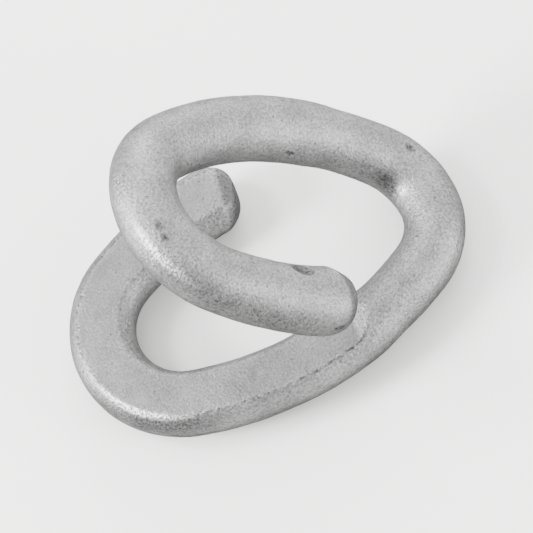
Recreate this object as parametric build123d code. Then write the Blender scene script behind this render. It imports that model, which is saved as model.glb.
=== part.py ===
from build123d import *
import math
import os

# An open lap link: one forged steel bar, bent into two hooks that share a full-round bow.
# The hooks lie over each other once the link is hammered shut, flat lap face on flat lap face.
# Frame: the link rests on its lower hook on the ground, z = 0. +X points from the lapped bow
# to the full-round bow. The origin is the bottom centre of the bounding box. Millimetres.

BAR_R = 5.0            # radius of the full-round bar
HINGE_BOW_R = 10.9     # centreline radius of the full-round bow
LAPPED_BOW_R = 13.9    # centreline radius of the bow where the two hooks lie over each other
BOW_SPACING = 32.9     # between the centres of the two bows
SIDE_R = 53.0          # centreline radius of the long, gently curved sides
ARM_SWING = 5.5        # how far a hook's arm is bent out past its side's mirror image, degrees
OPEN_ANGLE = 46.0      # between the planes of the two hooks, in degrees

LAP_HALF_WIDTH = 5.4   # half the width of a hook's lapped bar
LAP_BACK = 5.2         # from the lapped bar's centreline to its round back
LAP_FACE = 4.0         # from the lapped bar's centreline to its flat lap face
SHOULDER_X = -8.8      # where the lap face starts, measured from the hinge bow's centre
SHOULDER_RUN = 2.8     # length of the ramp between the lap face and the full-round bar
SHOULDER_BLEND = 6.5   # how far towards the bow the bar takes to become round
TIP_X = -16.3          # where a hook's arm ends, measured from the hinge bow's centre
ARM_FLARE = 1.1        # how much wider the arm gets towards its end, all on the outside
TIP_SKEW = 14.0        # how far the end is cut off square, longer on the outside, degrees
TIP_ROUND = 2.8        # radius that breaks the edge of a hook's end

DIMPLE_FROM_TIP = 10.3 # inspection dimple on the upper hook's arm: distance from the arm's end
DIMPLE_LEAN = 26.0     # how far the dimple leans from the arm's back towards the eye, degrees
DIMPLE_R = 2.3         # radius of the dimple's rim along the arm
DIMPLE_DEPTH = 0.4     # how deep the dimple is

CROWN = Vector(HINGE_BOW_R, 0, 0)


def side_arc_centre():
    """Centre of the +Y side arc, which touches both bow circles from outside them."""
    to_hinge = SIDE_R - HINGE_BOW_R
    to_lapped = SIDE_R - LAPPED_BOW_R
    x = (to_lapped**2 - to_hinge**2 - BOW_SPACING**2) / (2 * BOW_SPACING)
    return Vector(x, -math.sqrt(to_hinge**2 - x**2))


def point_on(centre, radius, angle):
    """Point of a circle at an angle in degrees."""
    turn = math.radians(angle)
    return centre + Vector(math.cos(turn), math.sin(turn)) * radius


def arc(centre, radius, start, end):
    """Arc between two angles in degrees."""
    middle = (start + end) / 2
    return ThreePointArc(*[point_on(centre, radius, a) for a in (start, middle, end)])


def hook_path():
    """Flat centreline of one hook, from the crown to past the arm's end, where it is cut off."""
    hinge = Vector(0, 0)
    lapped = Vector(-BOW_SPACING, 0)
    side = side_arc_centre()
    side_start = math.degrees(math.atan2(-side.Y, -side.X))
    round_end = math.degrees(math.acos((SHOULDER_X + SHOULDER_BLEND - side.X) / SIDE_R))
    shoulder = math.degrees(math.acos((SHOULDER_X - side.X) / SIDE_R))
    lapped_start = math.degrees(math.atan2(-side.Y, -BOW_SPACING - side.X))
    lapped_end = 360 - lapped_start - ARM_SWING
    arm_side = point_on(lapped, LAPPED_BOW_R - SIDE_R, lapped_end)
    tip = 360 - math.degrees(math.acos((TIP_X - arm_side.X) / SIDE_R))
    blank_end = tip + math.degrees(LAP_HALF_WIDTH / SIDE_R)
    return [
        arc(hinge, HINGE_BOW_R, 0, side_start),
        arc(side, SIDE_R, side_start, round_end),
        arc(side, SIDE_R, round_end, shoulder),
        arc(side, SIDE_R, shoulder, lapped_start),
        arc(lapped, LAPPED_BOW_R, lapped_start, lapped_end),
        arc(arm_side, SIDE_R, lapped_end, tip),
        arc(arm_side, SIDE_R, tip, blank_end),
    ]


def section(edge, place, half_width, half_height, flare=0):
    """Elliptical section of the bar, square to the path and widened on the outside by a flare."""
    along = edge % place
    plane = Plane(origin=edge @ place, x_dir=Vector(0, 0, 1).cross(along), z_dir=along)
    return plane * Pos(-flare / 2, 0) * Ellipse(half_width + flare / 2, half_height)


def bar():
    """The bent bar of one hook, round in the bow and slightly flattened where it laps."""
    bow, to_blend, blend, side, lapped, arm, offcut = hook_path()
    round_start = section(bow, 0, BAR_R, BAR_R)
    round_end = section(blend, 0, BAR_R, BAR_R)
    lap_start = section(side, 0, LAP_HALF_WIDTH, LAP_BACK)
    round_bar = sweep(round_start, path=Wire([bow, to_blend]))
    transition = sweep([round_end, lap_start], path=Wire(blend), multisection=True)
    lap_bar = sweep(lap_start, path=Wire([side, lapped]))
    arm_start = section(arm, 0, LAP_HALF_WIDTH, LAP_BACK)
    arm_end = section(offcut, 1, LAP_HALF_WIDTH, LAP_BACK, ARM_FLARE)
    flared_arm = sweep([arm_start, arm_end], path=Wire([arm, offcut]), multisection=True)
    return round_bar + transition + lap_bar + flared_arm


def lap_cutter():
    """What the forging die leaves out under the lap face, with the shoulder's ramp."""
    far_x = -BOW_SPACING - LAPPED_BOW_R - 2 * LAP_HALF_WIDTH
    depth = 3 * BAR_R
    slope = SHOULDER_RUN / (BAR_R - LAP_FACE)
    ramp_end = SHOULDER_X + slope * (depth - LAP_FACE)
    outline = Polyline(
        (SHOULDER_X, -LAP_FACE), (ramp_end, -depth), (far_x, -depth), (far_x, -LAP_FACE), close=True
    )
    return extrude(Plane.XZ * make_face(outline), amount=3 * LAPPED_BOW_R, both=True)


def tip_cutter():
    """Block that takes the offcut away and leaves the arm's slightly skewed end."""
    arm = hook_path()[-2]
    end = Plane(origin=arm @ 1, z_dir=(arm % 1).rotate(Axis.Z, TIP_SKEW))
    side = 4 * LAP_HALF_WIDTH
    return end * Pos(0, 0, side / 2) * Box(side, side, side)


def hook():
    """One hook in its own plane, its lap face looking down."""
    blank = bar() - lap_cutter() - tip_cutter()
    end_face = blank.faces().sort_by_distance(hook_path()[-2] @ 1)[0]
    return fillet(end_face.edges(), TIP_ROUND)


def dimple():
    """Ball that presses the inspection dimple into a hook's arm."""
    arm = hook_path()[-2]
    place = 1 - DIMPLE_FROM_TIP / arm.length
    ball_r = (DIMPLE_R**2 + DIMPLE_DEPTH**2) / (2 * DIMPLE_DEPTH)
    inward = Vector(0, 0, 1).cross(arm % place)
    lean = math.radians(DIMPLE_LEAN)
    surface = Vector(0, 0, 1) * math.cos(lean) * LAP_BACK + inward * math.sin(lean) * LAP_HALF_WIDTH
    outward = surface.normalized()
    centre = arm @ place + surface + outward * (ball_r - DIMPLE_DEPTH)
    return Pos(centre) * Sphere(ball_r)


def lap_link():
    """Both hooks joined at the crown, standing on the lower hook with its lap face up."""
    upper = (hook() - dimple()).rotate(Axis(CROWN, (0, 1, 0)), OPEN_ANGLE)
    lower = hook().rotate(Axis.X, 180)
    link = upper + lower
    box = link.bounding_box()
    return Pos(-box.center().X, -box.center().Y, -box.min.Z) * link


def main():
    os.makedirs("parts", exist_ok=True)
    link = lap_link()
    link.label = "lap_link"
    export_step(link, "parts/lap_link.step")
    box = link.bounding_box()
    print("lap_link", len(link.solids()), "solid", round(link.volume), "mm3", box.size)


main()
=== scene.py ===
# %% [markdown]
# # An open lap link, as it comes from the galvanising bath
#
# A lap link joins two lengths of chain. It is one steel bar, drop forged into two hooks that
# share a full-round bow. The hooks are flat where they will lie on each other, and the owner
# hammers them shut once the chain is on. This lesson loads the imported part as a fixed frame,
# then builds the forging again with the small things that the eye needs: the soft waviness
# of hot forging, broken edges, pits, and the grainy grey skin of hot-dip zinc.

# %% Load the frame
import math

import bmesh
import bpy
import numpy as np
from mathutils import Matrix, Vector


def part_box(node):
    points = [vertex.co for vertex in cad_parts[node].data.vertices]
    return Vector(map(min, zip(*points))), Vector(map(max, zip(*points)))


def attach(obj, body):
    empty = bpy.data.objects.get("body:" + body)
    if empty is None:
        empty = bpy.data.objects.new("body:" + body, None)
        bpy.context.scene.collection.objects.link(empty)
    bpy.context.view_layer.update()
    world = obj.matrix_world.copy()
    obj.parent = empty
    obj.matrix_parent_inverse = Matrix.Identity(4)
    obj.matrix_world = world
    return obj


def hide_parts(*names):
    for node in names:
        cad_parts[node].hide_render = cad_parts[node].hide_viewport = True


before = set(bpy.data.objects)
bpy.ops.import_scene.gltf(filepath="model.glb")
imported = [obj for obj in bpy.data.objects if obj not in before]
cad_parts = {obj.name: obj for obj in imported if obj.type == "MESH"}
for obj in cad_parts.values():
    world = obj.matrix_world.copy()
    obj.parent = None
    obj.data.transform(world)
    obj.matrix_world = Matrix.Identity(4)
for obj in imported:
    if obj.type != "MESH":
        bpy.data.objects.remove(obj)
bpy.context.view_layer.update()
MM = 0.001

# %% [markdown]
# ## The link's few driving sizes
#
# A forging is drawn from arcs: a tight bow, a wider bow and two long sides that touch both.
# The sizes below are the part's own, so the detailed forging lies where the plain one does.
# Only the corners of the two ends are drawn finer here than there. The crown is the outermost
# point of the round bow's centreline, and each hook is a flat curve that starts there.

# %% Driving sizes, in millimetres and degrees
BAR_R = 5.0            # the round bar
HINGE_BOW_R = 10.9     # centreline of the full-round bow
LAPPED_BOW_R = 13.9    # centreline of the bow where the hooks lie over each other
BOW_SPACING = 32.9     # between the two bows' centres
SIDE_R = 53.0          # centreline of the long sides
ARM_SWING = 5.5        # how far an arm is bent out past its side's mirror image
OPEN_ANGLE = 46.0      # between the planes of the two hooks
LAP_HALF_WIDTH = 5.4   # the lapped bar: half its width, its round back and its flat face
LAP_BACK = 5.2
LAP_FACE = 4.0
SHOULDER_X = -8.8      # where the lap face starts, from the round bow's centre
SHOULDER_RUN = 2.8     # length of the ramp from the lap face to the round bar
SHOULDER_BLEND = 6.5   # length over which the bar turns round
TIP_X = -16.3          # where an arm ends, from the round bow's centre
ARM_FLARE = 1.1        # how much wider an arm gets, all on the outside
TIP_SKEW = 14.0        # how far an end is off square, longer on the outside
OUTER_ROUND = 6.0      # an end's wide outer corner and its tighter inner one
INNER_ROUND = 3.2

bottom, top = (Vector(corner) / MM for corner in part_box("lap_link"))
CROWN = Vector((top.x - BAR_R, 0.0, bottom.z + LAP_BACK))
print("crown at", [round(v, 2) for v in CROWN])

# %% [markdown]
# ## The centreline of one hook
#
# It could be drawn as a Bezier by eye, but a die is cut to arcs, and arcs keep the bows
# round. Each arc is a centre, a radius and two angles. `walk` finds the point and the
# direction at any distance from the crown, so that rings can be spaced evenly later on.

# %% Centreline as tangent arcs
def side_centre():
    to_hinge = SIDE_R - HINGE_BOW_R
    to_lapped = SIDE_R - LAPPED_BOW_R
    x = (to_lapped**2 - to_hinge**2 - BOW_SPACING**2) / (2 * BOW_SPACING)
    return np.array([x, -math.sqrt(to_hinge**2 - x**2)])


def hook_arcs():
    """Arcs from the crown to the tip: (centre, radius, start angle, end angle)."""
    side = side_centre()
    side_start = math.atan2(-side[1], -side[0])
    lapped_start = math.atan2(-side[1], -BOW_SPACING - side[0])
    lapped = np.array([-BOW_SPACING, 0.0])
    lapped_end = 2 * math.pi - lapped_start - math.radians(ARM_SWING)
    inward = (LAPPED_BOW_R - SIDE_R) * np.array([math.cos(lapped_end), math.sin(lapped_end)])
    arm_side = lapped + inward
    tip = 2 * math.pi - math.acos((TIP_X - arm_side[0]) / SIDE_R)
    return [
        (np.zeros(2), HINGE_BOW_R, 0.0, side_start),
        (side, SIDE_R, side_start, lapped_start),
        (lapped, LAPPED_BOW_R, lapped_start, lapped_end),
        (arm_side, SIDE_R, lapped_end, tip),
    ]


ARCS = hook_arcs()
ARC_ENDS = np.cumsum([radius * (end - start) for _, radius, start, end in ARCS])
HOOK_LENGTH = float(ARC_ENDS[-1])


def walk(distance):
    """Points and directions of the centreline at an array of distances from the crown."""
    points = np.zeros((len(distance), 2))
    directions = np.zeros((len(distance), 2))
    begin = 0.0
    for (centre, radius, start, _), finish in zip(ARCS, ARC_ENDS):
        here = (distance >= begin) & (distance <= finish)
        turn = start + (distance[here] - begin) / radius
        points[here] = centre + radius * np.c_[np.cos(turn), np.sin(turn)]
        directions[here] = np.c_[-np.sin(turn), np.cos(turn)]
        begin = finish
    return points, directions


print("centreline of a hook:", round(HOOK_LENGTH, 1), "mm")

# %% [markdown]
# ## The skin of the forging
#
# The bar is round in the bow and a D where it laps: an oval with one side pressed flat. A
# sweep with a fixed profile can't change from one to the other, so each ring of points is
# worked out on its own. A ring starts as an oval, and a soft maximum then lifts the points
# that lie below the lap face up to it, which leaves the small rounded corner that a die and
# a coat of zinc leave. The same lift makes the shoulder's ramp.

# %% Shape of the die
CORNER = 0.16          # softness of the lap face's corner, in millimetres
RAMP_CORNER = 0.10     # softness of the ramp's foot


def smooth_step(t):
    t = np.clip(t, 0.0, 1.0)
    return t * t * (3 - 2 * t)


def soft_max(a, b, softness):
    """The larger of two values, with a rounded corner where they cross."""
    return 0.5 * (a + b + np.sqrt((a - b) ** 2 + softness**2))


def lap_face_height(x):
    """Height of the die's parting shape under the bar: the lap face, then the ramp."""
    ramp = (x - SHOULDER_X) * (BAR_R - LAP_FACE) / SHOULDER_RUN
    return -LAP_FACE - soft_max(ramp, 0.0, RAMP_CORNER)


print("lap face at", lap_face_height(-BOW_SPACING).round(2), "mm under the centreline")

# %% [markdown]
# ## The ends of the hooks
#
# An end is cut a little askew and then hammered: wide round outside, tighter inside, with a
# bevel all the way round that is larger on the back than on the lap face. So towards the end
# the rings lean into the skew and draw in along two quarter circles, and each point loses the
# height that the bevel takes. A last few rings shrink to a point and close the end.

# %% Rings and bevels of an end
RING_STEP = 0.40       # millimetres between rings
NOSE_RINGS = 19        # rings round an end's outer corner
CAP_RINGS = 12         # rings that close the end
BACK_BEVEL = (3.4, 1.5)   # reach and height of the bevel on an end's round back
LAP_BEVEL = (2.0, 1.3)    # the smaller one on its lap face
BEVEL_DULLNESS = (0.48, 0.62)  # how dull the hammer left them, in the same order
BACK_BLEND = 0.4       # share of the bar's height over which one bevel turns into the other
BEVEL_FADE = 0.15      # share of the reach over which the dullness comes in
END_ROUND = 0.8        # what is left of the sharp edge round the cut


def drawn_in(along, radius):
    """How far a quarter circle at the end has drawn the bar in."""
    t = np.clip((along - HOOK_LENGTH) / radius + 1, 0.0, 1.0)
    return radius * (1 - np.sqrt(1 - t**2))


def ring_stations():
    """Distances of the rings from the crown, and how far each is shrunk to close the end."""
    body = np.arange(0.0, HOOK_LENGTH - OUTER_ROUND, RING_STEP)
    turn = np.linspace(0.0, math.pi / 2, NOSE_RINGS)[:-1]
    nose = HOOK_LENGTH - OUTER_ROUND * (1 - np.sin(turn))
    cap = np.linspace(1.0, 0.0, CAP_RINGS + 1)[:-1]
    along = np.r_[body, nose, np.full(CAP_RINGS, HOOK_LENGTH)]
    shrink = np.r_[np.ones(len(body) + len(turn)), cap]
    return along, shrink


def end_bevel(along, angle):
    """Height that the end's bevel takes, and how dull it is."""
    back = smooth_step(np.sin(angle) / BACK_BLEND + 0.5)
    reach = LAP_BEVEL[0] + (BACK_BEVEL[0] - LAP_BEVEL[0]) * back
    height = LAP_BEVEL[1] + (BACK_BEVEL[1] - LAP_BEVEL[1]) * back
    dullness = BEVEL_DULLNESS[1] + (BEVEL_DULLNESS[0] - BEVEL_DULLNESS[1]) * back
    started = (along[:, None] - HOOK_LENGTH) / reach + 1
    taken = height * np.clip(started, 0.0, None) + drawn_in(along, END_ROUND)[:, None]
    return taken, smooth_step(started / BEVEL_FADE) * dullness


print("rings per hook:", len(ring_stations()[0]))

# %% [markdown]
# ## Ring by ring along a hook
#
# Both hooks start from one and the same circle at the crown, but their planes stand open. So
# each hook's rings start turned by half the opening angle and untwist along the bow, which
# keeps the rows of points straight on the skin. Three signs are noted on each point on the
# way: lap face, bevel and the fold along the lap face's outer edge.

# %% Rings of one hook
RING_POINTS = 120
HALF_TWIST = math.radians(OPEN_ANGLE / 2)
UNTWIST_RUN = 6.0      # millimetres past the bow by which the twist is gone
SKEW_REACH = 9.0       # how far back from the end the rings lean into its skew
FACE_FADE = 0.6        # lift, in millimetres, at which a point counts fully as lap face
FOLD_HALF = 0.24       # half height of the fold along the lap face's edge
PRESSED_FROM = 0.001   # shares of the shoulder's blend from which the die presses the bar,
FACE_FROM = 0.3        # from which the lap face shows,
FOLD_FROM = 0.9        # and from which its edge is folded


def hook_rings(mirror):
    """One hook in its own plane from the crown, lap face down: points, signs and distances."""
    along, shrink = ring_stations()
    centre, direction = walk(along)
    right = np.c_[direction[:, 1], -direction[:, 0]]
    lean = smooth_step((along - HOOK_LENGTH) / SKEW_REACH + 1)
    right += direction * (math.tan(math.radians(TIP_SKEW)) * lean)[:, None]
    lapped = smooth_step(1 - (centre[:, 0] - SHOULDER_X) / SHOULDER_BLEND)
    lapped = np.where(along < ARC_ENDS[0], 0.0, lapped)
    outer, inner = drawn_in(along, OUTER_ROUND), drawn_in(along, INNER_ROUND)
    half_width = BAR_R + (LAP_HALF_WIDTH - BAR_R) * lapped - (outer + inner) / 2
    half_height = BAR_R + (LAP_BACK - BAR_R) * lapped
    ring_angle = np.arange(RING_POINTS) * 2 * math.pi / RING_POINTS
    untwist = HALF_TWIST * (1 - smooth_step(along / (ARC_ENDS[0] + UNTWIST_RUN)))
    angle = mirror * ring_angle[None, :] + untwist[:, None]
    arm_start = ARC_ENDS[2]
    arm_length = HOOK_LENGTH + LAP_HALF_WIDTH - arm_start
    flare = ARM_FLARE * np.clip((along - arm_start) / arm_length, 0, 1)
    across = half_width[:, None] * np.cos(angle)
    across += flare[:, None] / 2 * (1 + np.cos(angle)) + (inner - outer)[:, None] / 2
    taken, bevelled = end_bevel(along, angle)
    up = (half_height[:, None] - taken) * np.sin(angle)
    plan_x = centre[:, :1] + across * right[:, :1]
    face = lap_face_height(plan_x) + taken
    raised = soft_max(up, face, CORNER)
    height = np.where(lapped[:, None] > PRESSED_FROM, raised, up) * shrink[:, None]
    flatness = smooth_step((raised - up) / FACE_FADE) * (lapped[:, None] > FACE_FROM)
    fold = np.clip(1 - np.abs(up - face) / FOLD_HALF, 0, 1)
    fold *= (lapped[:, None] > FOLD_FROM) * (np.cos(angle) > 0)
    plan = centre[:, None, :] + (across * shrink[:, None])[..., None] * right[:, None, :]
    return np.dstack([plan, height]), np.dstack([flatness, bevelled, fold]), along


upper_rings, upper_signs, stations = hook_rings(1)
lower_rings, lower_signs, _ = hook_rings(-1)
print("points per hook:", upper_rings.shape[0] * RING_POINTS)

# %% [markdown]
# ## One tube from tip to tip
#
# Turning a plan by half a turn about the link's long axis gives the other hook, so both
# come from the same rings. The lower hook lies on the ground with its lap face up, and the
# upper one is swung up about the crown by the opening angle. Their first rings are the same
# circle, so the two lists of rings join into one closed tube with no seam at the crown.

# %% Place the rings and make the mesh
def place_upper(points):
    turn = math.radians(OPEN_ANGLE)
    x = points[..., 0] - HINGE_BOW_R
    z = points[..., 2]
    turned = [x * math.cos(turn) + z * math.sin(turn), points[..., 1],
              -x * math.sin(turn) + z * math.cos(turn)]
    return np.stack(turned, axis=-1) + np.array(CROWN)


def place_lower(points):
    turned = [points[..., 0] - HINGE_BOW_R, -points[..., 1], -points[..., 2]]
    return np.stack(turned, axis=-1) + np.array(CROWN)


def tube(rings):
    """Closed mesh through a list of rings, with a point at each end."""
    count, points = rings.shape[:2]
    ends = [rings[0].mean(axis=0), rings[-1].mean(axis=0)]
    coords = np.vstack([rings.reshape(-1, 3), ends]) * MM
    faces = []
    for ring in range(count - 1):
        for i in range(points):
            a, b = ring * points + i, ring * points + (i + 1) % points
            faces.append((a, b, b + points, a + points))
    last, first_end = (count - 1) * points, count * points
    for i in range(points):
        j = (i + 1) % points
        faces.append((j, i, first_end))
        faces.append((last + i, last + j, first_end + 1))
    mesh = bpy.data.meshes.new("lap_link_forging")
    mesh.from_pydata(coords.tolist(), [], faces)
    return mesh


all_rings = np.concatenate([place_upper(upper_rings)[::-1], place_lower(lower_rings)[1:]])
all_signs = np.concatenate([upper_signs[::-1], lower_signs[1:]])
forging_mesh = tube(all_rings)
forging = bpy.data.objects.new("lap_link_forging", forging_mesh)
bpy.context.scene.collection.objects.link(forging)
print("forging:", len(forging_mesh.vertices), "points,", len(forging_mesh.polygons), "faces")

# %% [markdown]
# ## Marks of hammering and handling
#
# A forged link is never perfect. Scale falls off the hot steel and leaves shallow pans,
# links knock against each other in the bath, and this one has an oval dimple from an
# inspector's punch on its upper arm. Each mark is pressed in along the surface's own
# direction, as if by a ball: which hook, how far from the crown, which way round the bar, the
# radius of the pan's rim and its depth. These few are placed one by one, and the finer pits
# all over the coat are scattered later by rule.

# %% Press the marks
UPPER, LOWER = 0, 1
DIMPLE_FROM_TIP = 10.3
DIMPLE_LEAN = 26.0
# hook, distance from the crown, angle round the bar (0 outside, 90 back), radius, depth
MARKS = [
    (UPPER, HOOK_LENGTH - DIMPLE_FROM_TIP, 90 + DIMPLE_LEAN, 2.3, 0.40),
    (UPPER, HOOK_LENGTH - 4.2, 2, 0.8, 0.36),
    (UPPER, HOOK_LENGTH - 3.4, 96, 0.9, 0.10),
    (UPPER, 8.3, 80, 1.0, 0.42),
    (UPPER, 30.6, 173, 0.6, 0.24),
    (UPPER, 31.4, 170, 0.5, 0.20),
    (UPPER, 5.2, 168, 0.9, 0.08),
    (UPPER, 14.2, 163, 0.7, 0.12),
    (UPPER, 1.4, 148, 0.4, 0.12),
    (UPPER, 1.2, 154, 0.4, 0.14),
    (UPPER, 1.4, 161, 0.4, 0.12),
    (UPPER, 63.1, 36, 0.6, 0.10),
    (UPPER, 66.7, 38, 0.7, 0.12),
    (UPPER, 76.5, 50, 0.8, 0.16),
    (UPPER, 78.2, 46, 0.7, 0.16),
    (LOWER, 32.0, 306, 0.6, 0.14),
    (LOWER, 44.1, 267, 0.7, 0.14),
    (LOWER, 45.0, 271, 0.5, 0.10),
    (LOWER, 74.0, 262, 0.6, 0.10),
]


def ring_index(hook, distance):
    """Row of all_rings that lies at a distance from the crown along one hook."""
    nearest = int(np.argmin(np.abs(stations - distance)))
    crown_row = len(stations) - 1
    return crown_row - nearest if hook == UPPER else crown_row + nearest


def press(mesh, marks):
    normals = np.zeros(len(mesh.vertices) * 3)
    mesh.vertex_normals.foreach_get("vector", normals)
    normals = normals.reshape(-1, 3)
    coords = np.zeros(len(mesh.vertices) * 3)
    mesh.vertices.foreach_get("co", coords)
    coords = coords.reshape(-1, 3)
    for hook, distance, angle, radius, depth in marks:
        turn = angle if hook == UPPER else -angle
        column = round(turn / 360 * RING_POINTS) % RING_POINTS
        middle = ring_index(hook, distance) * RING_POINTS + column
        ball = (radius**2 + depth**2) / (2 * depth)
        centre = coords[middle] + normals[middle] * (ball - depth) * MM
        from_centre = coords - centre
        away = np.linalg.norm(from_centre, axis=1)
        inside = away < ball * MM
        coords[inside] = centre + from_centre[inside] * (ball * MM / away[inside])[:, None]
    mesh.vertices.foreach_set("co", coords.ravel())
    mesh.update()


def face_outwards(mesh):
    work = bmesh.new()
    work.from_mesh(mesh)
    bmesh.ops.recalc_face_normals(work, faces=work.faces)
    work.to_mesh(mesh)
    work.free()


face_outwards(forging_mesh)
press(forging_mesh, MARKS)
print("marks pressed:", len(MARKS))

# %% [markdown]
# ## Names that carry meaning onto the surface
#
# The lap face was pressed by a flat die and looks a little smoother than the hammered bar.
# The hammered end bevels and the deep marks are peppered with dark pin-holes, and so are three
# bands of painted shade. Patches of painted highlight are lighter, and a fine dark fold runs
# along the lap face's edge. Four numbers stored on every point, from 0 to 1, let the zinc know
# where it is.

# %% Soft-edged patches on the bar
SOFT_RIM = 0.3          # how far a patch reaches past its own size, before its fade
MARK_SPREAD = 0.66      # width of a deep mark's dull floor against the mark's own
MARK_FADE = 5.0
DULL_FROM_DEPTH = 0.15  # marks deeper than this have such a floor, in millimetres


def store(mesh, name, values):
    layer = mesh.attributes.new(name, "FLOAT", "POINT")
    layer.data.foreach_set("value", np.r_[values.ravel(), 0.0, 0.0].astype(np.float32))


def patches(zones):
    """Soft-edged ovals on the bar: hook, distance from the crown, half length, angle, half
    angle, and how fast the edge fades."""
    amount = np.zeros(all_signs.shape[:2])
    turn = np.arange(RING_POINTS) * 360 / RING_POINTS
    for hook, distance, reach, angle, spread, fade in zones:
        rows = (np.arange(len(amount)) - ring_index(hook, distance)) * RING_STEP / reach
        columns = (turn - (angle if hook == UPPER else -angle) + 180) % 360 - 180
        away = np.hypot(rows[:, None], columns[None, :] / spread)
        amount = np.maximum(amount, smooth_step((1 - away) * fade + SOFT_RIM))
    return amount


# %% Store the signs on the points
# Painted shade: three darkened, peppered bands where the bar is turned from the light, on the lower
# hook's outer flank, the upper arm's outer side and inside the bow by the crown.
PAINTED_SHADE_BANDS = [
    (LOWER, 59, 10, 332, 22, 1.0),
    (UPPER, 94, 18, 6, 34, 0.65),
    (UPPER, 8.2, 5.4, 169, 27, 1.1),
]
# Painted highlight: patches whose base colour is lifted to a light grey, with dark pits between,
# where the bar catches the light.
PAINTED_HIGHLIGHTS = [
    (LOWER, 62.5, 7.5, 313, 8, 1.3),
    (UPPER, 3.6, 1.5, 150, 14, 1.2),
    (UPPER, 79, 5.5, 16, 9, 0.8),
]
deep_marks = [
    (hook, distance, radius, angle, MARK_SPREAD * math.degrees(radius / BAR_R), MARK_FADE)
    for hook, distance, angle, radius, depth in MARKS if depth > DULL_FROM_DEPTH
]
flatness, bevelled, fold = np.moveaxis(all_signs, -1, 0)
SIGNS = {
    "lap_face": flatness,
    "lap_edge": fold,
    # Scuffed end bevels and deep marks, together with the bands of painted shade.
    "scuffs_and_painted_shade": np.maximum(bevelled, patches(PAINTED_SHADE_BANDS + deep_marks)),
    "painted_highlight": patches(PAINTED_HIGHLIGHTS),
}
for name, values in SIGNS.items():
    store(forging_mesh, name, values)
forging_mesh.shade_smooth()
print("share of the points with each sign:",
      {name: round(float(values.mean()), 3) for name, values in SIGNS.items()})

# %% [markdown]
# ## Helpers for nodes and colours
#
# Colours are kept as the sRGB hex values that a paint chart would give, and one function
# turns them into the linear light that the renderer works in. One small function adds a
# node with its settings and links, for shader and geometry trees alike.

# %% Node and colour helpers
def linear(hex_colour):
    """sRGB hex, such as '#B0B4B5', as linear RGBA."""
    parts = [int(hex_colour[i:i + 2], 16) / 255 for i in (1, 3, 5)]
    light = [p / 12.92 if p <= 0.04045 else ((p + 0.055) / 1.055) ** 2.4 for p in parts]
    return (*light, 1.0)


def add(tree, kind, settings=None, stops=(), **inputs):
    """A node of a kind, with its settings, a ramp's colour stops, and its inputs, which are
    values or other sockets. An input's name has _ for a space, or is i and its number."""
    node = tree.nodes.new(kind)
    for name, value in (settings or {}).items():
        setattr(node, name, value)
    for index, (place, colour) in enumerate(stops):
        node.color_ramp.elements[index].position = place
        node.color_ramp.elements[index].color = linear(colour)
    for name, value in inputs.items():
        key = int(name[1:]) if name[0] == "i" and name[1:].isdigit() else name.replace("_", " ")
        socket = node.inputs[key]
        if isinstance(value, bpy.types.NodeSocket):
            tree.links.new(value, socket)
        else:
            socket.default_value = value
    return node


def per_metre(size_mm):
    """Scale of a noise pattern whose features are about this many millimetres."""
    return 1.0 / (size_mm * MM)


MULTIPLY = {"data_type": "RGBA", "blend_type": "MULTIPLY"}
COVER = {"data_type": "RGBA", "blend_type": "MIX"}
print("mid zinc grey in linear light:", round(linear("#999999")[0], 3))

# %% [markdown]
# ## Hot-dip galvanised steel
#
# The link was dipped in molten zinc at 450 degrees and left to weather to a dull grey. Bright
# spangle is gone. What is left is a fine matt grain, cloudy patches where the coat is thicker,
# and dark pin-holes. The real crystals are a tenth or two of a millimetre across, too fine to
# show, so the grain is drawn at about 0.4 millimetres.

# %% The zinc's own grey
def zinc_grey(tree, place, grain, strength):
    """Cloudy grey with a fine speckle and dark pin-holes."""
    cloud = add(tree, "ShaderNodeTexNoise", Vector=place, Scale=per_metre(6), Detail=4.0)
    clouds = add(tree, "ShaderNodeValToRGB", stops=[(0.36, "#888888"), (0.64, "#999999")],
                 Fac=cloud.outputs["Fac"])
    speck = add(tree, "ShaderNodeValToRGB", stops=[(0.36, "#A6A6A6"), (0.62, "#FFFFFF")], Fac=grain)
    grained = add(tree, "ShaderNodeMix", MULTIPLY, i0=strength, i6=clouds.outputs["Color"],
                  i7=speck.outputs["Color"])
    pins = add(tree, "ShaderNodeTexVoronoi", Vector=place, Scale=per_metre(1.9))
    pin = add(tree, "ShaderNodeValToRGB", stops=[(0.05, "#6A6C6C"), (0.13, "#FFFFFF")],
              Fac=pins.outputs["Distance"])
    return add(tree, "ShaderNodeMix", MULTIPLY, i0=0.6, i6=grained.outputs[2],
               i7=pin.outputs["Color"]).outputs[2]
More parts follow.
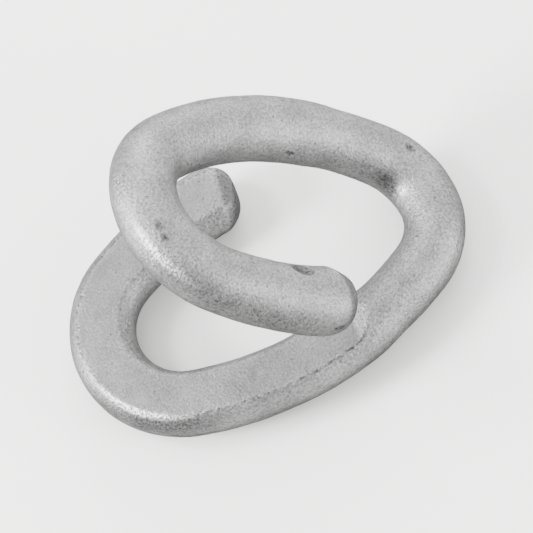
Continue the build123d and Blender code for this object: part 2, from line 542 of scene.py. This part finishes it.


# %% [markdown]
# ## What use and the bath did to it, with painted light and shade
#
# The stored signs steer the colour. Scuffed bevels and marks are peppered dark, and so are
# bands of painted shade, the pressed lap face is a shade darker all over, its outer edge has a
# broken dark fold, and patches of painted highlight are lighter, with dark pits left between.
# Undersides are painted darker as shade, by how far their normals point down.

# %% Wear on the zinc, with painted shade and highlights
def worn_and_painted_light(tree, place, grey, signs):
    """The grey with scuffs, the lap face, its folded edge, painted highlights and painted shade."""
    peppered = add(tree, "ShaderNodeTexNoise", Vector=place, Scale=per_metre(0.4), Detail=3.0)
    pepper = add(tree, "ShaderNodeValToRGB", stops=[(0.37, "#8A8A8A"), (0.52, "#C4C4C4")],
                 Fac=peppered.outputs["Fac"])
    # Scuffs, and the painted shade bands, are peppered darker.
    scuffs_and_painted_shade = add(tree, "ShaderNodeMix", MULTIPLY, i0=signs["scuffs_and_painted_shade"], i6=grey,
                  i7=pepper.outputs["Color"])
    pressed = add(tree, "ShaderNodeMix", MULTIPLY, i0=signs["lap_face"], i6=scuffs_and_painted_shade.outputs[2],
                  i7=linear("#E2E2E2"))
    breaks = add(tree, "ShaderNodeTexNoise", Vector=place, Scale=per_metre(0.8), Detail=3.0)
    crack = add(tree, "ShaderNodeValToRGB", stops=[(0.43, "#7C7C7C"), (0.54, "#FFFFFF")],
                Fac=breaks.outputs["Fac"])
    folded = add(tree, "ShaderNodeMix", MULTIPLY, i0=signs["lap_edge"], i6=pressed.outputs[2],
                 i7=crack.outputs["Color"])
    # Painted highlight: light grey with dark pits, laid over the colour in those patches.
    painted_highlight_colour = add(tree, "ShaderNodeValToRGB", stops=[(0.40, "#747474"), (0.53, "#C6C6C6")],
                 Fac=peppered.outputs["Fac"])
    painted_highlight = add(tree, "ShaderNodeMix", COVER, i0=signs["painted_highlight"], i6=folded.outputs[2],
                 i7=painted_highlight_colour.outputs["Color"])
    # Painted shade: the base colour is darkened on faces that point down, as if they lay in shade.
    normal = add(tree, "ShaderNodeNewGeometry").outputs["Normal"]
    facing = add(tree, "ShaderNodeSeparateXYZ", Vector=normal).outputs["Z"]
    painted_underside_shade = add(tree, "ShaderNodeMapRange", Value=facing, From_Min=-0.3, From_Max=0.5,
                  To_Min=0.55, To_Max=1.0)
    return add(tree, "ShaderNodeMix", MULTIPLY, i0=1.0, i6=painted_highlight.outputs[2],
               i7=painted_underside_shade.outputs["Result"]).outputs[2]


# %% [markdown]
# ## The finished zinc
#
# Zinc is a metal, so the shader is metallic with its default IOR. The thin oxide that makes it
# dull takes a little of that away, greys the rim's gloss and leaves it rough. The rings already
# carry all that is larger than a millimetre, and the bump adds only the grain.

# %% Material: hot-dip galvanised steel
def galvanised_steel():
    material = bpy.data.materials.new("hot_dip_galvanised_steel")
    material.use_nodes = True
    tree = material.node_tree
    tree.nodes.clear()
    place = add(tree, "ShaderNodeTexCoord").outputs["Object"]
    signs = {name: add(tree, "ShaderNodeAttribute", {"attribute_name": name}).outputs["Fac"]
             for name in SIGNS}
    strength = add(tree, "ShaderNodeMapRange", Value=signs["lap_face"], To_Min=0.95,
                   To_Max=0.6).outputs["Result"]
    grain = add(tree, "ShaderNodeTexNoise", Vector=place, Scale=per_metre(0.42), Detail=5.0,
                Roughness=0.7).outputs["Fac"]
    colour = worn_and_painted_light(tree, place, zinc_grey(tree, place, grain, strength), signs)
    rough = add(tree, "ShaderNodeMapRange", Value=grain, From_Min=0.3, From_Max=0.7,
                To_Min=0.34, To_Max=0.52)
    fine = add(tree, "ShaderNodeTexNoise", Vector=place, Scale=per_metre(0.46), Detail=4.0,
               Roughness=0.6)
    bump = add(tree, "ShaderNodeBump", Strength=strength, Distance=0.21 * MM,
               Height=fine.outputs["Fac"])
    shader = add(tree, "ShaderNodeBsdfPrincipled", Base_Color=colour, Metallic=0.92,
                 Specular_Tint=linear("#8C8C8C"), Roughness=rough.outputs["Result"],
                 Normal=bump.outputs["Normal"])
    add(tree, "ShaderNodeOutputMaterial", Surface=shader.outputs["BSDF"])
    return material


zinc = galvanised_steel()
print("material:", zinc.name, "nodes:", len(zinc.node_tree.nodes))

# %% [markdown]
# ## The zinc coat, grown on the forging
#
# The coat follows one rule everywhere: long soft waves left by hammering, a fine grain where
# zinc crystals froze, pin-holes where flux boiled out, and now and then a pimple of dross.
# That is work for Geometry Nodes. The tree has a named input for each size, pushes the points
# along their normals by layered noise, scatters the pimples with a fixed seed, realises them
# and sets the finish. All of it is real relief, so it shows in the outline and under light.

# %% Geometry Nodes: zinc coat
COAT_SIZES = {
    "Wave Length": 9.0 * MM, "Wave Height": 0.16 * MM,
    "Grain Size": 1.1 * MM, "Grain Height": 0.055 * MM,
    "Pit Spacing": 3.4 * MM, "Pit Radius": 0.42 * MM, "Pit Depth": 0.16 * MM,
    "Pimple Spacing": 3.0 * MM, "Pimple Radius": 0.16 * MM,
}


def noise_push(tree, position, size, height, detail):
    """Noise between -1 and 1 of a feature size, times a height."""
    scale = add(tree, "ShaderNodeMath", {"operation": "DIVIDE"}, i0=1.0, i1=size).outputs[0]
    noise = add(tree, "ShaderNodeTexNoise", Vector=position, Scale=scale, Detail=detail)
    centred = add(tree, "ShaderNodeMath", {"operation": "MULTIPLY_ADD"}, i0=noise.outputs[0],
                  i1=2.0, i2=-1.0)
    return add(tree, "ShaderNodeMath", {"operation": "MULTIPLY"}, i0=centred.outputs[0],
               i1=height).outputs[0]


def pit_push(tree, position, spacing, radius, depth):
    """Round pits at the cells of a Voronoi pattern, as a push below the surface."""
    scale = add(tree, "ShaderNodeMath", {"operation": "DIVIDE"}, i0=1.0, i1=spacing).outputs[0]
    cells = add(tree, "ShaderNodeTexVoronoi", Vector=position, Scale=scale)
    away = add(tree, "ShaderNodeMath", {"operation": "MULTIPLY"}, i0=cells.outputs["Distance"],
               i1=spacing).outputs[0]
    pan = add(tree, "ShaderNodeMapRange", {"interpolation_type": "SMOOTHSTEP"}, Value=away,
              From_Min=0.0, From_Max=radius, To_Min=-1.0, To_Max=0.0)
    return add(tree, "ShaderNodeMath", {"operation": "MULTIPLY"}, i0=pan.outputs[0],
               i1=depth).outputs[0]


def pimples(tree, surface, spacing, radius):
    """Half-sunk beads of dross, scattered at least a spacing apart."""
    density = add(tree, "ShaderNodeMath", {"operation": "POWER"}, i0=spacing, i1=-2.0).outputs[0]
    spots = add(tree, "GeometryNodeDistributePointsOnFaces", {"distribute_method": "POISSON"},
                Mesh=surface, Distance_Min=spacing, Density_Max=density, Seed=7)
    bead = add(tree, "GeometryNodeMeshIcoSphere", Radius=radius, Subdivisions=1)
    squat = add(tree, "GeometryNodeTransform", Geometry=bead.outputs["Mesh"],
                Scale=(1.0, 1.0, 0.45))
    size = add(tree, "FunctionNodeRandomValue", {"data_type": "FLOAT"}, i2=0.45, i3=1.15, Seed=11)
    return add(tree, "GeometryNodeInstanceOnPoints", Points=spots.outputs["Points"],
               Instance=squat.outputs[0], Rotation=spots.outputs["Rotation"],
               Scale=size.outputs[1]).outputs[0]


def zinc_coat_tree(finish):
    tree = bpy.data.node_groups.new("zinc_coat", "GeometryNodeTree")
    tree.interface.new_socket("Geometry", in_out="INPUT", socket_type="NodeSocketGeometry")
    for name in COAT_SIZES:
        tree.interface.new_socket(name, in_out="INPUT", socket_type="NodeSocketFloat")
    tree.interface.new_socket("Geometry", in_out="OUTPUT", socket_type="NodeSocketGeometry")
    given = add(tree, "NodeGroupInput").outputs
    position = add(tree, "GeometryNodeInputPosition").outputs[0]
    normal = add(tree, "GeometryNodeInputNormal").outputs[0]
    wave = noise_push(tree, position, given["Wave Length"], given["Wave Height"], 1.0)
    grain = noise_push(tree, position, given["Grain Size"], given["Grain Height"], 2.0)
    pits = pit_push(tree, position, given["Pit Spacing"], given["Pit Radius"], given["Pit Depth"])
    relief = add(tree, "ShaderNodeMath", {"operation": "ADD"}, i0=wave, i1=grain).outputs[0]
    relief = add(tree, "ShaderNodeMath", {"operation": "ADD"}, i0=relief, i1=pits).outputs[0]
    push = add(tree, "ShaderNodeVectorMath", {"operation": "SCALE"}, i0=normal, Scale=relief)
    coated = add(tree, "GeometryNodeSetPosition", Geometry=given["Geometry"],
                 Offset=push.outputs[0]).outputs[0]
    beads = pimples(tree, coated, given["Pimple Spacing"], given["Pimple Radius"])
    whole = add(tree, "GeometryNodeJoinGeometry", Geometry=coated)
    tree.links.new(beads, whole.inputs[0])
    solid = add(tree, "GeometryNodeRealizeInstances", Geometry=whole.outputs[0]).outputs[0]
    done = add(tree, "GeometryNodeSetMaterial", Geometry=solid, Material=finish).outputs[0]
    add(tree, "NodeGroupOutput", Geometry=done)
    return tree


def coat(piece, tree, sizes):
    """Run the tree on a piece with the given sizes and keep the result as a plain mesh."""
    modifier = piece.modifiers.new("zinc_coat", "NODES")
    modifier.node_group = tree
    sockets = {item.name: item.identifier for item in tree.interface.items_tree
               if item.in_out == "INPUT"}
    for name, size in sizes.items():
        modifier[sockets[name]] = size
    graph = bpy.context.evaluated_depsgraph_get()
    plain = bpy.data.meshes.new_from_object(piece.evaluated_get(graph))
    piece.modifiers.clear()
    piece.data = plain
    plain.shade_smooth()
    plain.calc_loop_triangles()
    return len(plain.loop_triangles)


print("coated forging:", coat(forging, zinc_coat_tree(zinc), COAT_SIZES), "triangles")

# %% [markdown]
# ## A pale bench
#
# The link lies on a matt white laminate top, wide enough that its edge is never seen.

# %% Bench
def matt_white():
    material = bpy.data.materials.new("matt_white_laminate")
    material.use_nodes = True
    shader = material.node_tree.nodes["Principled BSDF"]
    shader.inputs["Base Color"].default_value = linear("#F4F4F2")
    shader.inputs["Roughness"].default_value = 0.8
    return material


def bench(half_side=3.0):
    mesh = bpy.data.meshes.new("bench")
    corners = [(-half_side, -half_side, 0), (half_side, -half_side, 0),
               (half_side, half_side, 0), (-half_side, half_side, 0)]
    mesh.from_pydata(corners, [], [(0, 1, 2, 3)])
    mesh.materials.append(matt_white())
    top = bpy.data.objects.new("bench", mesh)
    bpy.context.scene.collection.objects.link(top)
    return top


floor = bench()
print("bench:", list(floor.dimensions), "m")

# %% [markdown]
# ## Soft light all round
#
# Rough zinc shows what stands around it. A strong soft lamp on the left draws the long
# highlight, weaker ones behind and on the right lift the far sides, and white walls fill in
# everywhere else. One part of the wall, in front and a little to the left, is grey, and the
# bar's darker band is its reflection.

# %% Lamps and sky
def aim(thing, place, target):
    thing.location = place
    thing.rotation_euler = (Vector(target) - Vector(place)).to_track_quat("-Z", "Y").to_euler()


def softbox(name, place, size, power):
    lamp = bpy.data.lights.new(name, "AREA")
    lamp.shape = "DISK"
    lamp.size = size
    lamp.energy = power
    thing = bpy.data.objects.new(name, lamp)
    bpy.context.scene.collection.objects.link(thing)
    aim(thing, place, (0, 0, 0.02))


def studio_sky():
    """White all round, falling off to grey in the one direction that is left unlit."""
    sky = bpy.data.worlds.new("studio_white")
    sky.use_nodes = True
    tree = sky.node_tree
    tree.nodes.clear()
    towards = add(tree, "ShaderNodeTexCoord").outputs["Generated"]
    facing = add(tree, "ShaderNodeVectorMath", {"operation": "DOT_PRODUCT"}, i0=towards,
                 i1=(-0.50, -0.86, 0.09)).outputs["Value"]
    light = add(tree, "ShaderNodeMapRange", {"interpolation_type": "SMOOTHSTEP"}, Value=facing,
                From_Min=0.45, From_Max=0.92, To_Min=2.1, To_Max=0.35)
    glow = add(tree, "ShaderNodeBackground", Color=linear("#FFFFFF"),
               Strength=light.outputs["Result"])
    add(tree, "ShaderNodeOutputWorld", Surface=glow.outputs["Background"])
    return sky


softbox("key_lamp", (-0.88, 0.12, 0.46), 0.36, 27)
softbox("high_lamp", (-0.54, 0.32, 0.78), 0.30, 9)
softbox("side_lamp", (0.45, 0.80, 0.34), 0.8, 14)
softbox("front_lamp", (0.72, -0.62, 0.30), 0.45, 13)
softbox("top_lamp", (-0.02, 0.52, 1.10), 0.9, 3)
bpy.context.scene.world = studio_sky()
print("lamps:", [lamp.name for lamp in bpy.data.lights])

# %% [markdown]
# ## The camera
#
# It looks down steeply from more than a metre away with a long lens, so the two hooks keep
# their true proportions, and it is rolled so that the link lies across the picture.

# %% Camera
AZIMUTH, ELEVATION, ROLL = (math.radians(a) for a in (2.83, 65.21, -29.24))
AIM = Vector((1.15, -1.85, 15.10)) * MM
CAMERA_DISTANCE = 1.135  # metres
LENS = 478.5             # millimetres

camera = bpy.data.objects.new("camera", bpy.data.cameras.new("camera"))
bpy.context.scene.collection.objects.link(camera)
back = Vector((math.sin(AZIMUTH) * math.cos(ELEVATION), -math.cos(AZIMUTH) * math.cos(ELEVATION),
               math.sin(ELEVATION)))
level = Vector((math.cos(AZIMUTH), math.sin(AZIMUTH), 0))
right = level * math.cos(ROLL) + back.cross(level) * math.sin(ROLL)
up = back.cross(right)
camera.matrix_world = Matrix.Translation(AIM + back * CAMERA_DISTANCE) @ Matrix(
    (right, up, back)).transposed().to_4x4()
camera.data.lens = LENS
camera.data.clip_end = 10
bpy.context.scene.camera = camera
print("camera at", [round(v, 3) for v in AIM + back * CAMERA_DISTANCE], "m")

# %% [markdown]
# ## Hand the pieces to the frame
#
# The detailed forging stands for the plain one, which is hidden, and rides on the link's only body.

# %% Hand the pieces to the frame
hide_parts("lap_link")
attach(forging, "root")
